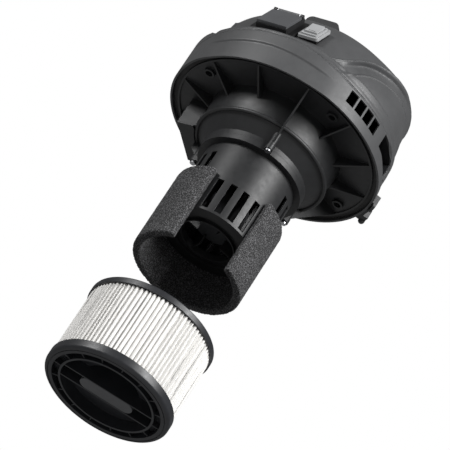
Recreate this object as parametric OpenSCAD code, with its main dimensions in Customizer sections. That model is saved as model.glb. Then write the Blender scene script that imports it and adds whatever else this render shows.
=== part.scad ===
// Motor head of a shop vacuum, with its float cage, foam sleeve and cartridge filter.
// Millimetres, +Z up, front (switch and power take-off) towards -Y.
// Origin: on the suction axis, in the plane of the skirt's bottom edge, where the head sits on a tank.
// The sleeve and the cartridge are drawn below the cage, drawn off along the axis.

/* [Skirt and cover] */
// Outer radius of the skirt that drops over the tank's rim
skirt_r = 153; // [140:0.5:190]
// Wall of the skirt and of the cover
cover_wall = 3; // [2.5:0.1:4]
// Height of the skirt band
skirt_h = 56; // [46:1:68]
// Height of the cover's top
cover_h = 160; // [150:1:195]
// How far the skirt band stands proud of the cover above it
skirt_step = 3; // [2:0.1:3.5]
// Forward lean of the sloping cap, in degrees
cap_lean = 15; // [10:0.5:18]
// Slope of the front panel from level, in degrees
panel_slope = 62; // [56:0.5:68]
// Distance from the axis to the front panel, at the height of its middle
panel_d = 122; // [117:0.5:147]
// Height of the middle of the front panel
panel_z = 87; // [81:0.5:99]

/* [Vents and side pockets] */
// Number of exhaust windows in the skirt
vent_n = 4; // [2:1:6]
// Width of a window
vent_w = 13.5; // [8:0.5:15]
// Bar left between two windows
vent_bar = 3.2; // [2.5:0.1:5]
// Height of a window
vent_h = 20; // [12:0.5:26]
// Height of the windows' lower edge
vent_z = 15; // [12:0.5:20]
// Place of the middle of the windows round the skirt, in degrees from the front
vent_at = 59; // [52:0.5:62]
// Width of a side pocket, where a tank's latch hooks in
pocket_w = 62; // [40:1:70]
// Height of a side pocket
pocket_h = 22; // [16:0.5:26]
// Depth of a side pocket
pocket_d = 14; // [10:0.5:16]

/* [Base housing] */
// Outer radius of the ring that goes inside the tank's mouth
ring_r = 143; // [130:0.5:180]
// Wall of the base housing
base_wall = 3; // [2.5:0.1:4]
// Height of the base's floor over the skirt's bottom edge
floor_z = 4; // [2:0.5:6]
// Outer radius of the funnel under the floor
funnel_r = 96; // [92:0.5:104]
// Depth of the bead round the funnel's mouth below the skirt's bottom edge
bead_depth = 37; // [34:0.5:42]
// Radius of the bead's round section
bead_r = 3; // [2:0.1:4]
// Number of ribs round the funnel, every fourth of them a deep one
rib_n = 12; // [12:12:24]
// Thickness of a gusset rib
gusset_t = 2.5; // [2:0.1:4]
// Radius of the circle of cover screws
boss_circle_r = 126; // [118:0.5:130]
// Outer radius of a cover screw's boss
boss_r = 8; // [7:0.5:10]
// Width of the exhaust duct
duct_w = 74; // [60:1:84]
// Distance from the axis to the duct's outer face
duct_r = 116; // [114:0.5:126]

/* [Cage and float] */
// Radius of the neck that the cage is screwed to
neck_r = 75; // [72:0.5:78]
// Depth of the neck's end below the skirt's bottom edge
neck_depth = 63; // [60:0.5:68]
// Thickness of the cage's flange
flange_t = 8; // [5:0.5:10]
// Outer radius of the cage
cage_r = 66; // [60:0.5:67]
// Wall of the cage
cage_wall = 2.5; // [2:0.1:3]
// Depth of the cage's end below the skirt's bottom edge
cage_depth = 186; // [180:1:192]
// Width of a cage slot
slot_w = 9.5; // [6:0.5:10.5]
// Radius of the cage's round mouth
mouth_r = 37; // [34:0.5:42]
// Radius of the float
float_r = 28; // [24:0.5:30]
// Height of the float
float_h = 46; // [36:1:50]
// Clearance between the float and its guides
float_clear = 0.6; // [0.4:0.1:1]

/* [Foam sleeve] */
// Length of the sleeve
foam_h = 119; // [96:1:144]
// Outer radius of the sleeve
foam_r = 78; // [76:0.5:78.5]
// Clearance between the sleeve and the cage
foam_clear = 0.6; // [0.4:0.1:1.5]
// Width of the sleeve's lengthwise opening
foam_gap = 84; // [60:1:96]
// Depth of the sleeve's top below the skirt's bottom edge, drawn off
foam_depth = 125; // [120:1:140]

/* [Cartridge filter] */
// Outer radius of the end caps
cart_r = 89; // [86:0.5:95]
// Height of the cartridge
cart_h = 122; // [102:1:146]
// Height of the top cap
cap_h = 9; // [7:0.5:12]
// Height of the bottom cap's rim
rim_h = 14; // [12:0.5:18]
// Radius of the rim's rounded lower edge
rim_round = 5; // [3:0.5:6]
// Clearance between the cartridge's bore and the sleeve
cart_clear = 1.5; // [1:0.1:2.5]
// Depth of the cartridge's top below the skirt's bottom edge, drawn off
cart_depth = 334.7; // [320:0.1:400]
// Number of pleats
pleat_n = 88; // [60:1:100]
// Radius of the bowl in the bottom cap
bowl_r = 65; // [58:0.5:66]
// Depth of the bowl in the bottom cap
bowl_d = 17; // [15:0.5:20]
// Radius of the well in the bowl's middle
well_r = 38; // [32:0.5:44]
// Depth of the well in the bowl's middle, from the cap's face
bowl_well_d = 29; // [26:0.5:32]
// Width of the grip bar across the bowl
grip_w = 27; // [22:0.5:30]

/* [Motor] */
// Radius of the fan's shroud
shroud_r = 70; // [66:0.5:74]
// Height of the fan's shroud
shroud_h = 36; // [34:0.5:42]
// Gap between the impeller and the shroud
tip_gap = 8; // [7:0.5:14]
// Radius of the motor's shaft
shaft_r = 4; // [3:0.1:5]
// Running clearance between the shaft and its bearings
run_clear = 0.05; // [0.02:0.01:0.08]
// Outer radius of a ball bearing
bearing_r = 11; // [10:0.5:13]
// Width of a ball bearing
bearing_w = 7; // [6:0.5:9]
// Radius of the field core
field_r = 45; // [42:0.5:48]
// Radius of the armature
armature_r = 24.5; // [20:0.5:26]
// Length of the field core and of the armature
core_h = 36; // [30:1:40]
// Radius of the commutator
comm_r = 11; // [9:0.5:12]
// How far the motor's hood stands outside the shroud
hood_gap = 8; // [6:0.5:12]

/* [Switch and power take-off] */
// Width of the switch's bezel
bezel_w = 30; // [28:0.5:36]
// Length of the switch's bezel up the panel
bezel_l = 40; // [36:0.5:44]
// Distance of the switch from the middle of the panel
switch_x = 29; // [28:0.5:32]
// How far up the panel the switch sits from the panel's middle
switch_rise = 6; // [2:0.5:8]
// Width of the power take-off
socket_w = 44; // [40:0.5:46]
// Length of the power take-off up the panel
socket_l = 53; // [46:0.5:56]
// Distance of the power take-off from the middle of the panel
socket_x = 18; // [18:0.5:22]
// How far the power take-off stands out of the panel
socket_out = 7.5; // [6:0.5:12]
// Thickness of the power take-off's lid
lid_t = 4; // [3:0.5:6]
// Gap between a moving piece and what it moves in
move_gap = 0.4; // [0.3:0.05:0.6]

/* [Handle and cord] */
// Width of the carry handle's grip
handle_w = 32; // [28:1:40]
// Thickness of the carry handle's grip
handle_t = 13; // [11:0.5:18]
// Half the length of the hand well under the handle
well_y = 46; // [42:1:52]
// Half the width of the hand well
well_x = 50; // [42:1:56]
// Depth of the hand well under the cover's top
well_d = 34; // [28:1:36]
// Radius of the bore that the power cord goes through
cord_r = 4; // [3:0.1:5]

/* [Hidden] */
$fn = 96;
eps = 0.01;
big = 500;

// Cover
dome_steps = 14;
cap_r = skirt_r + 15;
cap_h_total = cover_h + 12;
cap_back = 35;
seat_r = skirt_r - cover_wall;
panel_face = panel_d * sin(panel_slope) + panel_z * cos(panel_slope);
panel_up = panel_z * sin(panel_slope) - panel_d * cos(panel_slope);
pocket_z = 16;
pocket_wall = 2;
hand_floor = cover_h - well_d;
handle_top = cover_h + 6;
foot_w = 48;
foot_l = 16;
foot_round = 9;
foot_y = well_y + 2 + foot_l / 2;
ledge_w = 34;
cord_z = 32;
gland_r = cord_r + 3;
hook_gap = 4;
hook_r = 4.5;
hook_low = 3;
hook_h = 41;
hook_x = 23.5;

// Base housing
ring_low = 2;
seal_z = floor_z + 1;
seal_h = 5;
flange_z = seal_z + seal_h;
flange_plate = 3;
bell_in = shroud_r + 12;
neck_top = -(neck_depth - 7);
inlet_r = 24;
gusset_low = -15;
screw_r = 2;
screw_head_r = 4;
screw_clear = 0.3;
cage_tab_r = 82;
cage_tab_at = [29, 149, 269];
boss_at = [-40, 50, 140, 230];
duct_at = -93;
duct_low = -bead_depth - 1;

// Cage
cage_top = -neck_depth;
cage_low = -cage_depth;
flange_low = cage_top - flange_t;
view_at = 28;
long_slot_top = -88;
short_slot_top = -133;
slot_low = cage_low + 4;
float_seat = 20;
slot_group_at = [0, 81, 180, 279];
end_t = 5;
fin_t = 2;
float_foot = 19;
float_low = cage_low + float_seat + move_gap;
guide_r = float_r + float_clear;

// Foam sleeve and cartridge
foam_in = cage_r + foam_clear;
foam_top = -foam_depth;
foam_low = foam_top - foam_h;
cart_top = -cart_depth;
cart_low = cart_top - cart_h;
cart_bore = foam_r + cart_clear;
core_wall = 1.3;
pleat_in = cart_bore + core_wall + 0.2;
pleat_out = cart_r - 2.3;
cap_plate = 2.5;
bowl_floor = cart_low + bowl_d;
channel_in = bowl_r + 3;
channel_out = channel_in + 9.5;
grip_at = view_at - 2.4;

// Motor, from the bottom up
gasket_h = 5;
inlet_floor = neck_top + base_wall;
shroud_z = inlet_floor + gasket_h;
shroud_wall = 1.5;
plate_z = shroud_z + shroud_h;
plate_t = 3;
bearing_z = plate_z + plate_t;
boss_low_r = bearing_r + 3;
core_z = plate_z + 24;
comm_z = core_z + core_h + 10;
comm_h = 16;
upper_z = comm_z + comm_h + 6;
shaft_low = shroud_z + 2.5;
shaft_top = upper_z + plate_t + bearing_w + 16;
fan_z = upper_z + plate_t + bearing_w + 4;
column_r = field_r + 4;
hood_wall = 2.5;
ring_h = 4;
hood_low = plate_z + plate_t + ring_h;
hood_r = shroud_r + hood_gap;
impeller_r = shroud_r - tip_gap;
hood_top = shaft_top + 6;
hood_flange_r = funnel_r + 9;
base_top = floor_z + base_wall;
hood_screw_at = [0, 120, 240];
hood_screw_r = funnel_r + 5;
clamp_r = (hood_flange_r + ring_r - base_wall) / 2;
board_r = hood_flange_r + 7;
cup_top = floor_z + 16;
cup_floor = 3;

// Switch and power take-off, on the panel
bezel_out = 4;
rocker_w = bezel_w - 12;
rocker_l = bezel_l - 14;
rocker_pin_r = 1.5;
lid_pin_r = 1.5;
lid_ear = 5;
pit_w = socket_w - 10;
pit_l = socket_l - 14;
pit_d = 19;
socket_top = socket_out + 2;
hinge_y = socket_l / 2 - 3.5;
hinge_z = socket_top + lid_pin_r + 1.2;

// Turns the children to an angle round the axis, at a distance and a height
module at(a, r, z) {
    rotate([0, 0, a]) translate([0, -r, z]) children();
}

// A tube, standing on z
module tube(r_out, r_in, z, h) {
    translate([0, 0, z]) difference() {
        cylinder(r = r_out, h = h);
        translate([0, 0, -1]) cylinder(r = r_in, h = h + 2);
    }
}

// A disc or a rod, standing on z
module rod(r, z, h) {
    translate([0, 0, z]) cylinder(r = r, h = h);
}

// A box centred in x and y, standing on z
module slab(w, d, z, h) {
    translate([-w / 2, -d / 2, z]) cube([w, d, h]);
}

// A level plate with rounded corners, standing on z
module round_slab(w, d, z, h, r) {
    translate([0, 0, z]) linear_extrude(h) union() {
        square([w - 2 * r, d], center = true);
        square([w, d - 2 * r], center = true);
        for (x = [-1, 1], y = [-1, 1])
            translate([x * (w / 2 - r), y * (d / 2 - r)]) circle(r = r, $fn = 32);
    }
}

// Half outline of a domed solid, with exponents p across and q up
function dome_points(r, h, p, q) = concat([[0, 0]],
    [for (i = [0 : dome_steps]) let (t = 90 * i / dome_steps)
        [r * pow(cos(t), 2 / p), h * pow(sin(t), 2 / q)]]);

// The cover's outside, moved in by an inset
module cover_form(inset) {
    intersection() {
        rotate_extrude($fn = 96)
            polygon(dome_points(skirt_r - skirt_step - inset, cover_h - inset, 3, 4.4));
        rotate([cap_lean, 0, 0]) translate([0, cap_back, 0]) rotate_extrude($fn = 96)
            polygon(dome_points(cap_r - inset, cap_h_total - inset, 2.5, 2.1));
        on_panel(0) translate([-big, -big, -2 * big - inset]) cube([2 * big, 2 * big, 2 * big]);
    }
}

// Places the children on the front panel: x across, y up the slope, z out of it
module on_panel(x, rise = 0) {
    rotate([panel_slope, 0, 0]) translate([x, panel_up + rise, panel_face]) children();
}

// --- Cover ---------------------------------------------------------------

module vent_windows() {
    step = (vent_w + vent_bar) / skirt_r * 180 / PI;
    for (i = [0 : vent_n - 1])
        at(vent_at + (i - (vent_n - 1) / 2) * step, skirt_r - 4, vent_z + vent_h / 2)
            cube([vent_w, 24, vent_h], center = true);
}

module top_cover() {
    color("#3a3c3e") difference() {
        union() {
            difference() {
                cover_form(0);
                translate([0, 0, -eps]) cover_form(cover_wall);
                rod(skirt_r + 10, -1, skirt_h - cover_wall + 1);
            }
            tube(skirt_r, seat_r, 0, skirt_h);
            difference() {
                tube(skirt_r - 1, skirt_r - ledge_w, skirt_h - cover_wall, cover_wall);
                cover_form(cover_wall);
            }
            intersection() {
                for (a = boss_at) at(a, boss_circle_r, 0) rod(boss_r - 2, cup_top, cover_h);
                cover_form(1);
            }
        }
        vent_windows();
        for (a = [-90, 90]) at(a, skirt_r, pocket_z) slab(pocket_w, 40, 0, pocket_h);
        round_slab(2 * well_x, 2 * well_y, hand_floor - 2, well_d + 20, 14);
        handle_form();
        on_panel(-socket_x) slab(socket_w - 4, socket_l - 4, -pit_d, 60);
        on_panel(switch_x, switch_rise) slab(bezel_w - 4, bezel_l - 4, -pit_d, 60);
        at(180, skirt_r, cord_z) rotate([90, 0, 0]) cylinder(r = gland_r, h = 40, center = true);
        for (a = boss_at) at(a, boss_circle_r, 0) rod(screw_r, cup_top - 1, 22);
    }
}

module panel_plate() {
    color("#101112") on_panel(-socket_x) difference() {
        round_slab(socket_w + 16, socket_l + 8, 0, 2, 6);
        slab(socket_w - 4, socket_l - 4, -1, 6);
    }
}

// Pocket in the skirt's side, behind a window, open outwards
module pocket(side) {
    at(90 * side, seat_r, pocket_z) difference() {
        translate([-pocket_w / 2 - pocket_wall, 0, -pocket_wall])
            cube([pocket_w + 2 * pocket_wall, pocket_d + pocket_wall, pocket_h + 2 * pocket_wall]);
        translate([-pocket_w / 2, -60, 0]) cube([pocket_w, 60 + pocket_d, pocket_h]);
        translate([0, seat_r, -50]) tube(seat_r + 60, seat_r, 0, 100);
    }
}

module pocket_left() { color("#1b1c1e") pocket(-1); }
module pocket_right() { color("#1b1c1e") pocket(1); }

// Hook for the wound power cord: a foot on the skirt and a finger that stands clear of it
module cord_hook(side) {
    at(180 - 52 * side, skirt_r, 0) difference() {
        union() {
            translate([-28, -hook_gap, 2]) cube([50, hook_gap + 6, 14]);
            translate([-20, -hook_gap / 2, 2]) rotate([90, 0, 0]) cylinder(r = 8, h = hook_gap, center = true);
            translate([hook_x, -hook_gap - hook_r, 0]) {
                rod(hook_r, hook_low, hook_h);
                for (z = [hook_low, hook_low + hook_h]) translate([0, 0, z]) sphere(r = hook_r);
            }
            translate([hook_x - 14, -hook_gap - hook_r - 3, 2]) cube([14, hook_gap + hook_r + 7, 14]);
        }
        translate([0, skirt_r, -30]) cylinder(r = skirt_r, h = 100);
    }
}

module cord_hook_right() { color("#2b2d2f") cord_hook(1); }
module cord_hook_left() { color("#2b2d2f") mirror([1, 0, 0]) cord_hook(1); }

module cord_gland() {
    color("#141414") at(180, skirt_r, cord_z) rotate([90, 0, 0]) difference() {
        union() {
            translate([0, 0, -18]) cylinder(r = gland_r, h = 30);
            translate([0, 0, 2]) cylinder(r = gland_r + 3, h = 3);
            translate([0, 0, -cover_wall - 6]) cylinder(r = gland_r + 2, h = 2);
        }
        translate([0, 0, -30]) cylinder(r = cord_r, h = 60);
    }
}

module cord_clamp() {
    color("#202122") at(180, clamp_r, 0) difference() {
        slab(36, 10, base_top, cord_z - base_top + 10);
        translate([0, 0, cord_z]) rotate([90, 0, 0]) cylinder(r = cord_r, h = 40, center = true);
    }
}

// --- Handle --------------------------------------------------------------

// The handle's outside: a grip between two feet that go through the cover
module handle_form() {
    translate([-handle_w / 2, -foot_y - foot_l / 2, handle_top - handle_t])
        cube([handle_w, 2 * foot_y + foot_l, handle_t]);
    for (s = [-1, 1]) translate([0, s * foot_y + foot_l / 2, 0]) rotate([90, 0, 0]) linear_extrude(foot_l) {
        translate([-foot_w / 2, hand_floor]) square([foot_w, handle_top - foot_round - hand_floor]);
        translate([foot_round - foot_w / 2, hand_floor])
            square([foot_w - 2 * foot_round, handle_top - hand_floor]);
        for (x = [-1, 1]) translate([x * (foot_w / 2 - foot_round), handle_top - foot_round])
            circle(r = foot_round, $fn = 48);
    }
}

module carry_handle() {
    color("#131415") difference() {
        handle_form();
        for (s = [-1, 1]) translate([0, s * foot_y, 0]) rod(screw_r, hand_floor - 1, 20);
    }
}

module handle_well() {
    color("#1b1c1e") difference() {
        intersection() {
            round_slab(2 * well_x, 2 * well_y, hand_floor - 2, well_d, 14);
            cover_form(0);
        }
        round_slab(2 * well_x - 5, 2 * well_y - 5, hand_floor, well_d + 10, 11.5);
        handle_form();
    }
}

module handle_screws() {
    color("silver") for (s = [-1, 1]) translate([0, s * foot_y, 0]) {
        rod(screw_r, hand_floor - 1, 16);
        rod(screw_head_r, hand_floor - 4, 3);
    }
}

// --- Base housing ----------------------------------------------------------

// Half section of the funnel, the bell and the neck
module funnel_section() {
    polygon([[inlet_r, neck_top], [neck_r, neck_top], [bell_in, neck_top + 8], [funnel_r - 4, -bead_depth],
             [funnel_r, floor_z], [funnel_r, base_top], [funnel_r - base_wall, base_top],
             [funnel_r - 4 - base_wall, 2 - bead_depth], [bell_in - base_wall, neck_top + 11],
             [shroud_r + 1, inlet_floor], [inlet_r, inlet_floor]]);
    translate([funnel_r - 3, -bead_depth]) circle(r = bead_r, $fn = 32);
    translate([neck_r - 5, -neck_depth]) square([5, neck_depth + neck_top + 1]);
}

// Triangular rib between the funnel and the ring
module gusset() {
    rotate([90, 0, -90]) translate([0, 0, -gusset_t / 2]) linear_extrude(gusset_t)
        polygon([[funnel_r - 5, gusset_low], [ring_r - 2, ring_low], [ring_r - 2, floor_z + 1], [funnel_r - 2, floor_z + 1]]);
}

// Deep rib from the floor to a cage screw's boss
module long_rib() {
    rotate([90, 0, -90]) translate([0, 0, -gusset_t / 2]) linear_extrude(gusset_t)
        polygon([[neck_r - 2, 1 - neck_depth], [cage_tab_r + 3, 1 - neck_depth], [ring_r - 2, ring_low],
                 [ring_r - 2, floor_z + 1], [funnel_r - 2, floor_z + 1], [bell_in, neck_top + 8]]);
}

// Block outside the funnel, moved in by an inset, from one height to another
module duct_block(inset, low, high) {
    difference() {
        rotate([0, 0, duct_at]) translate([inset - duct_w / 2, inset - duct_r, low])
            cube([duct_w - 2 * inset, duct_r - funnel_r + 22, high - low]);
        rod(funnel_r + (inset == 0 ? -1 : 0.5), low - 1, high - low + 2);
    }
}

module base_housing() {
    rib_step = 360 / rib_n;
    color("#17181a") difference() {
        union() {
            rotate_extrude() funnel_section();
            tube(ring_r, funnel_r - 1, floor_z, base_wall);
            tube(ring_r, ring_r - base_wall, ring_low, flange_z + flange_plate - ring_low);
            tube(seat_r - 0.2, ring_r - base_wall, flange_z, flange_plate);
            for (i = [0 : rib_n - 1])
                if (i % (rib_n / 3) != 0) rotate([0, 0, cage_tab_at[0] + i * rib_step]) gusset();
            for (a = cage_tab_at) rotate([0, 0, a]) long_rib();
            for (a = cage_tab_at) at(a, cage_tab_r, 0) rod(5, -neck_depth, 26);
            for (a = boss_at) at(a, boss_circle_r, 0) rod(boss_r, floor_z - 4, cup_top - floor_z + 4);
            duct_block(0, duct_low, floor_z + 1);
        }
        duct_block(base_wall, duct_low - 1, floor_z);
        duct_block(-1, duct_low - 20, duct_low);
        for (a = boss_at) at(a, boss_circle_r, 0) {
            rod(screw_r + screw_clear, -10, 50);
            rod(screw_head_r + 1, -10, 10 + cup_top - cup_floor);
        }
        for (a = cage_tab_at) at(a, cage_tab_r, 0) rod(screw_r, -neck_depth - 1, 16);
        for (a = hood_screw_at) at(a, hood_screw_r, 0) rod(screw_r, floor_z - 1, 10);
        rotate([0, 0, duct_at]) translate([-duct_w / 2 + 12, -duct_r + 8, floor_z - 2])
            cube([duct_w - 24, duct_r - funnel_r - 12, 8]);
    }
}

module rim_seal() {
    color("#0c0c0d") tube(seat_r - 0.2, ring_r, seal_z, seal_h);
}

module cover_screws() {
    color("silver") for (a = boss_at) at(a, boss_circle_r, 0) {
        rod(screw_head_r, cup_top - cup_floor - 3, 3);
        rod(screw_r, cup_top - cup_floor, cup_floor + 18);
    }
}

module duct_cover() {
    color("#1d1e20") difference() {
        rotate([0, 0, duct_at]) translate([-duct_w / 2, -duct_r, duct_low - 2])
            cube([duct_w, duct_r - funnel_r + 4, 2]);
        rod(funnel_r + 0.5, duct_low - 3, 4);
    }
}

module exhaust_foam() {
    color("#2a2a2c") duct_block(base_wall, duct_low + 6, duct_low + 24);
}

// --- Cage and float --------------------------------------------------------

module cage_slot(a, z_top) {
    at(a, cage_r, slot_low) translate([-slot_w / 2, -10, 0]) cube([slot_w, 20, z_top - slot_low]);
}

module float_cage() {
    slot_step = 16.5;
    color("#1a1b1d") difference() {
        union() {
            tube(cage_r, cage_r - cage_wall, cage_low, -neck_depth - cage_low - flange_t + 1);
            tube(neck_r, cage_r - cage_wall, flange_low, flange_t);
            tube(cage_r, mouth_r + 12, cage_low, end_t);
            tube(mouth_r + 13, mouth_r, cage_low + 4, end_t);
            tube(mouth_r + 2, mouth_r, cage_low, end_t);
            for (a = cage_tab_at) at(a, cage_tab_r, 0) rod(5.5, flange_low, flange_t);
            for (a = cage_tab_at) at(a, (cage_tab_r + neck_r - 4) / 2, 0) slab(11, cage_tab_r - neck_r + 4, flange_low, flange_t);
            for (a = [45 : 90 : 315]) at(a, 0, cage_low + end_t - 1) {
                translate([-fin_t / 2, -cage_r + 1, 0])
                    cube([fin_t, cage_r - 1 - guide_r, cage_top - cage_low - end_t]);
                translate([-fin_t / 2, -guide_r - 1, 0])
                    cube([fin_t, guide_r - float_foot, float_seat - end_t + 1]);
            }
        }
        for (g = [0 : 3]) for (i = [-1.5 : 1.5]) cage_slot(view_at + slot_group_at[g] + i * slot_step, slot_top(g));
        for (a = cage_tab_at) at(a, cage_tab_r, 0) rod(screw_r + screw_clear, flange_low - 1, flange_t + 2);
    }
}

function slot_top(g) = g % 2 == 0 ? short_slot_top : long_slot_top;

module cage_screws() {
    color("silver") for (a = cage_tab_at) at(a, cage_tab_r, 0) {
        rod(screw_head_r, flange_low - 3, 3);
        rod(screw_r, flange_low, flange_t + 14);
    }
}

module float_body() {
    color("#24262a") translate([0, 0, float_low]) {
        cylinder(r = float_r, h = float_h - 10);
        translate([0, 0, float_h - 10]) intersection() {
            sphere(r = float_r);
            cylinder(r = float_r, h = 10);
        }
    }
}

// --- Motor -----------------------------------------------------------------

module motor_gasket() {
    color("#0c0c0d") tube(shroud_r - 4, inlet_r + 8, inlet_floor, gasket_h);
}

module fan_shroud() {
    color("#b9bcc0") {
        tube(shroud_r, shroud_r - shroud_wall, shroud_z, shroud_h);
        tube(shroud_r - 0.5, 24, shroud_z, shroud_wall);
    }
}

module impeller() {
    low = shroud_z + 5;
    h = shroud_h - 10;
    blade_n = 7;
    color("#c9ccd0") difference() {
        union() {
            rod(impeller_r, low + h - 1.5, 1.5);
            tube(impeller_r, 22, low, 1.5);
            rod(9, low, h);
            for (i = [0 : blade_n - 1]) rotate([0, 0, i * 360 / blade_n])
                translate([14, 0, low]) rotate([0, 0, 24]) cube([42, 1.5, h]);
        }
        rod(shaft_r - run_clear, low - 1, h + 2);
    }
}

module bearing_plate() {
    color("#a8abae") difference() {
        union() {
            rod(shroud_r, plate_z, plate_t);
            rod(boss_low_r, plate_z, plate_t + bearing_w);
        }
        rod(bearing_r, bearing_z, bearing_w + 1);
        rod(bearing_r - 3, plate_z - 1, 10);
        for (i = [0 : 5]) rotate([0, 0, i * 60 + 30]) translate([30, 0, plate_z - 1]) cylinder(r = 7, h = 6);
    }
}

module ball_bearing(z) {
    tube(bearing_r, shaft_r, z, bearing_w);
}

module lower_bearing() { color("silver") ball_bearing(bearing_z); }
module upper_bearing() { color("silver") ball_bearing(upper_z + plate_t); }

module motor_frame() {
    color("#8f9296") {
        difference() {
            union() {
                slab(2 * column_r + 8, 24, upper_z, plate_t);
                rod(boss_low_r, upper_z, plate_t + bearing_w);
            }
            rod(bearing_r, upper_z + plate_t, bearing_w + 1);
            rod(bearing_r - 3, upper_z - 1, 10);
        }
        for (s = [-1, 1]) translate([s * (column_r + 2), 0, 0]) slab(4, 24, bearing_z, upper_z - bearing_z);
    }
}

module field_core() {
    color("#6d7074") {
        difference() {
            rod(field_r + 2, core_z, core_h);
            rod(armature_r + 1, core_z - 1, core_h + 2);
        }
        for (s = [-1, 1]) translate([s * (column_r - 1.75), 0, 0]) slab(3.5, 14, core_z, core_h);
    }
}

module field_coils() {
    color("#b06a33") for (z = [core_z - 7, core_z + core_h])
        tube(field_r - 3, armature_r + 3, z, 7);
}

module shaft() {
    color("silver") rod(shaft_r - run_clear, shaft_low, shaft_top - shaft_low);
}

module armature_core() {
    color("#85888c") tube(armature_r, shaft_r - run_clear, core_z, core_h);
}

module armature_windings() {
    color("#b06a33") for (z = [core_z - 8, core_z + core_h])
        tube(armature_r - 4, shaft_r - run_clear, z, 8);
}

module commutator() {
    color("#b5763a") tube(comm_r, shaft_r - run_clear, comm_z, comm_h);
}

module brush_holders() {
    color("#c2a14a") for (s = [-1, 1]) rotate([0, 0, 90 * s]) difference() {
        translate([-6, -column_r, comm_z + 2]) cube([12, column_r - comm_r - 6, 12]);
        translate([-4, -column_r - 1, comm_z + 4]) cube([8, column_r, 8]);
    }
}

module carbon_brushes() {
    color("#303030") for (s = [-1, 1]) rotate([0, 0, 90 * s]) difference() {
        translate([-4, -comm_r - 22, comm_z + 4]) cube([8, 22, 8]);
        rod(comm_r + 0.3, comm_z, comm_h);
    }
}

module cooling_fan() {
    color("#202224") difference() {
        union() {
            rod(9, fan_z, 10);
            rod(40, fan_z, 1.5);
            for (i = [0 : 8]) rotate([0, 0, i * 40]) translate([8, -0.75, fan_z]) cube([31, 1.5, 10]);
        }
        rod(shaft_r - run_clear, fan_z - 1, 12);
    }
}

module mount_ring() {
    color("#0c0c0d") tube(shroud_r, shroud_r - 9, plate_z + plate_t, ring_h);
}

module motor_hood() {
    color("#2c2e31") difference() {
        union() {
            tube(hood_r, hood_r - hood_wall, hood_low, hood_top - hood_low);
            tube(hood_r, 26, hood_top - hood_wall, hood_wall);
            tube(hood_r, shroud_r - 8, hood_low, hood_wall);
            tube(hood_flange_r, hood_r - 1, base_top, hood_wall);
        }
        for (a = hood_screw_at) at(a, hood_screw_r, 0) rod(screw_r + screw_clear, base_top - 1, 6);
        for (a = boss_at) at(a, boss_circle_r, 0) rod(boss_r + 1, base_top - 1, cup_top);
        for (i = [0 : 11]) at(i * 30 + 15, hood_r, base_top + 14) slab(14, 10, 0, 12);
    }
}

module hood_screws() {
    color("silver") for (a = hood_screw_at) at(a, hood_screw_r, 0) {
        rod(screw_head_r, base_top + hood_wall, 2.5);
        rod(screw_r, base_top - base_wall + 0.5, base_wall + hood_wall - 0.5);
    }
}

// --- Switch and power take-off ----------------------------------------------

module switch_bezel() {
    color("#b4b6b8") on_panel(switch_x, switch_rise) difference() {
        union() {
            round_slab(bezel_w, bezel_l, 0, bezel_out, 4);
            round_slab(bezel_w - 6, bezel_l - 6, 0, bezel_out + 2.5, 3);
        }
        slab(rocker_w + 2 * move_gap, rocker_l + 2 * move_gap, -1, 20);
        pivot_rod();
    }
}

// The rocker's pivot, in the panel's frame
module pivot_rod() {
    translate([0, 0, 4]) rotate([0, 90, 0])
        cylinder(r = rocker_pin_r, h = rocker_w + 2 * move_gap + 4, center = true);
}

module rocker_pin() {
    color("silver") on_panel(switch_x, switch_rise) pivot_rod();
}

module switch_rocker() {
    color("#c6c8ca") on_panel(switch_x, switch_rise) difference() {
        translate([-rocker_w / 2, 0, -2]) rotate([90, 0, 90]) linear_extrude(rocker_w)
            polygon([[-rocker_l / 2 + 1, 3], [rocker_l / 2 - 1, 3], [rocker_l / 2 - 2.2, 12.5],
                     [0, 10.8], [-rocker_l / 2 + 2.2, 10.2]]);
        translate([0, 0, 4]) rotate([0, 90, 0])
            cylinder(r = rocker_pin_r + run_clear, h = rocker_w + 2, center = true);
        translate([-rocker_w / 2 + 4, -rocker_l / 2 + 3.4, 7.6]) cube([rocker_w - 8, 2.6, 6]);
    }
}

module switch_body() {
    depth = 26;
    color("#0f0f10") on_panel(switch_x, switch_rise) difference() {
        slab(bezel_w - 4.6, bezel_l - 4.6, -depth, depth);
        slab(rocker_w + 2 * move_gap, rocker_l + 2 * move_gap, -6, 20);
    }
}

module socket_frame() {
    color("#121314") on_panel(-socket_x) difference() {
        union() {
            slab(socket_w, socket_l, 2, socket_out);
            slab(socket_w - 4.6, socket_l - 4.6, -pit_d, pit_d + 3);
            for (s = [-1, 1]) translate([s * (socket_w / 2 - lid_ear / 2), hinge_y, 0]) {
                slab(lid_ear - 1, 6, socket_top - 1, hinge_z - socket_top + 1);
                translate([0, 0, hinge_z]) rotate([0, 90, 0]) cylinder(r = 3, h = lid_ear - 1, center = true);
            }
        }
        slab(pit_w, pit_l, -pit_d + 3, 60);
        translate([0, hinge_y, hinge_z]) rotate([0, 90, 0]) {
            cylinder(r = 4, h = socket_w - 2 * lid_ear, center = true);
            cylinder(r = lid_pin_r, h = socket_w + 2, center = true);
        }
    }
}

module socket_insert() {
    color("#1c1d1f") on_panel(-socket_x) difference() {
        slab(pit_w - 1, pit_l - 1, -pit_d + 3, 12);
        translate([0, 0, 6 - pit_d]) cylinder(r = 14, h = 30);
    }
}

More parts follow.
